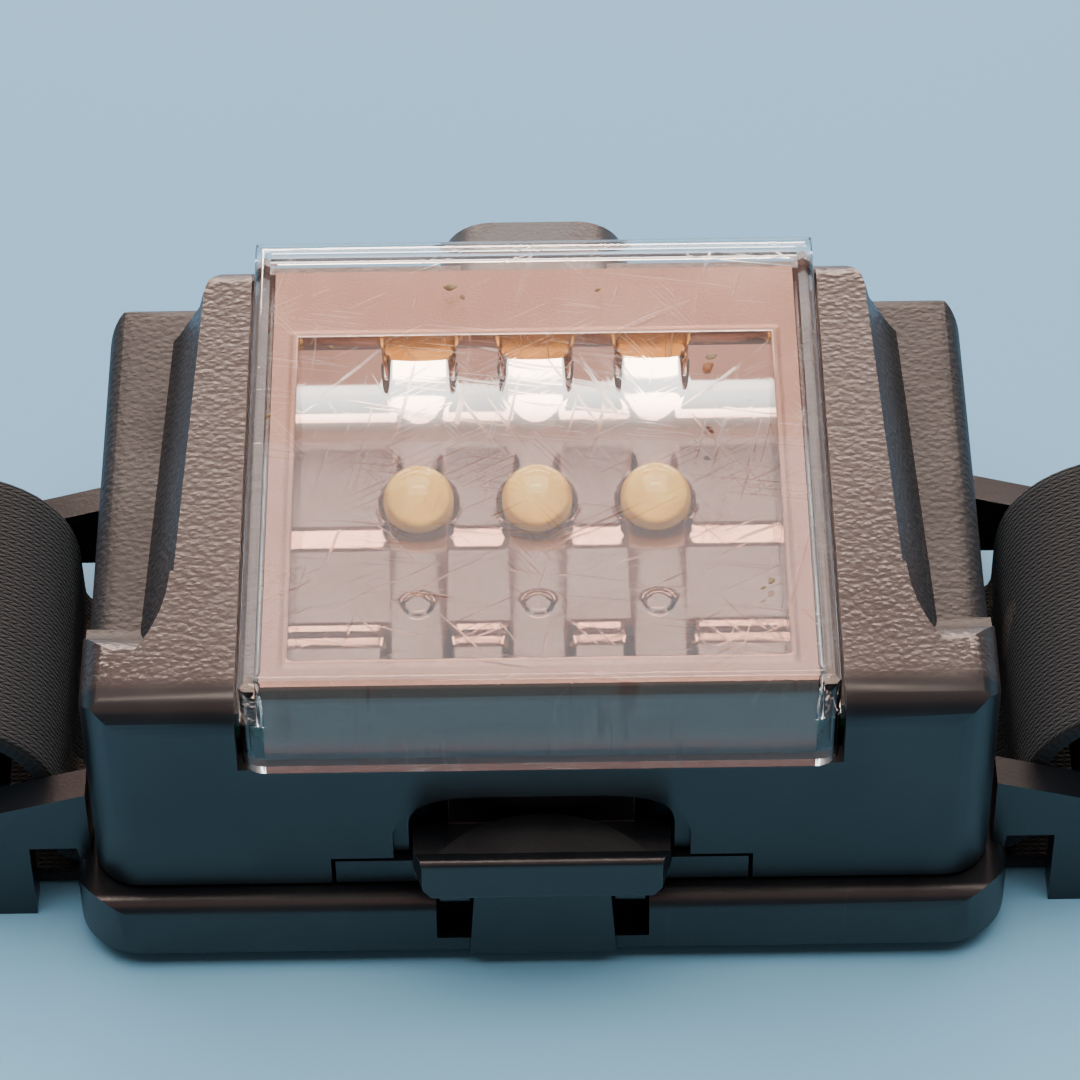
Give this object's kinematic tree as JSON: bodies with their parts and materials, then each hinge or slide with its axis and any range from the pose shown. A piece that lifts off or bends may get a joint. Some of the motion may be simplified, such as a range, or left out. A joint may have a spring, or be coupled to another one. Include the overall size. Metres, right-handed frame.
{
  "type": "headlamp",
  "caption": "Camping headlamp: boxy battery lamp with a clear wrap-over lens, trough reflector and round LEDs, tilting on a plate worn on a woven headband.",
  "frame": {"origin": "on the table under the middle of the whole lamp, which lies on its back with its lens up", "axes": "+Z out through the lens, +X along the headband, +Y to the crown side, -Y to the chin side where the release tab is"},
  "size_m": [0.2546, 0.0534, 0.0283],
  "materials": {
    "black_textured_plastic": "fine-grained black moulding",
    "black_satin_plastic": "satin black moulding",
    "clear_plastic": "clear, lightly scratched",
    "chrome_reflector": "vacuum metallised, slightly dusty",
    "led_epoxy": "clear water-white dome",
    "led_phosphor": "yellow phosphor in a metal cup",
    "board_green": "solder mask",
    "bare_steel": "plated steel",
    "cell_jacket": "printed film jacket with bare ends",
    "grey_rubber": "soft matt rubber",
    "button_rubber": "soft dark brown rubber",
    "webbing_camo": "ribbed elastic webbing in a brown and black camouflage weave",
    "black_component": "moulded electronic parts",
    "black_thread": "bonded sewing thread"
  },
  "bodies": {
    "bracket": {"bracket": "black_satin_plastic", "headband": "webbing_camo"},
    "battery_tray": {"rear_cover": "black_satin_plastic", "tilt_pin": "bare_steel", "cover_hinge_pin": "bare_steel", "tray_seal": "grey_rubber", "cell_1": "cell_jacket", "cell_2": "cell_jacket", "cell_3": "cell_jacket", "cell_spring_1": "bare_steel", "cell_spring_2": "bare_steel", "cell_spring_3": "bare_steel", "contact_plate_minus": "bare_steel", "contact_plate_left_pair": "bare_steel", "contact_plate_right_pair": "bare_steel", "contact_plate_plus": "bare_steel"},
    "lamp_head": {"front_housing": "black_textured_plastic", "lens_cover": "clear_plastic", "reflector": "chrome_reflector", "led_1": "led_epoxy", "led_2": "led_epoxy", "led_3": "led_epoxy", "led_core_1": "led_phosphor", "led_core_2": "led_phosphor", "led_core_3": "led_phosphor", "circuit_board": "board_green", "contact_blade_left": "bare_steel", "contact_blade_right": "bare_steel", "board_screw_1": "bare_steel", "board_screw_2": "bare_steel", "board_screw_3": "bare_steel", "board_screw_4": "bare_steel", "resistor_1": "black_component", "resistor_2": "black_component", "resistor_3": "black_component", "switch_body": "black_component"},
    "release_tab": {"release_tab": "black_satin_plastic"},
    "power_button": {"power_button": "button_rubber", "switch_plunger": "black_component"},
    "band_slider": {"band_slider": "black_satin_plastic"}
  },
  "joints": [
    {"name": "head_tilt", "type": "hinge", "parent": "bracket", "child": "battery_tray", "pos_m": [0, -0.0235, 0.0082], "axis": [1, 0, 0], "range_deg": [0, 45]},
    {"name": "cover_open", "type": "hinge", "parent": "battery_tray", "child": "lamp_head", "pos_m": [0, 0.0224, 0.0088], "axis": [-1, 0, 0], "range_deg": [0, 85]},
    {"name": "tab_flex", "type": "hinge", "parent": "lamp_head", "child": "release_tab", "pos_m": [0, -0.0209, 0.0153], "axis": [-1, 0, 0], "range_deg": [0, 8], "stiffness_Nm_per_rad": 0.18, "springref_deg": -0.57},
    {"name": "button_press", "type": "slide", "parent": "lamp_head", "child": "power_button", "axis": [0, -1, 0], "range_m": [0, 0.0005], "stiffness_N_per_m": 2000, "springref_m": -0.0003},
    {"name": "slider_move", "type": "slide", "parent": "bracket", "child": "band_slider", "axis": [1, 0, 0], "range_m": [-0.01, 0.01]}
  ]
}
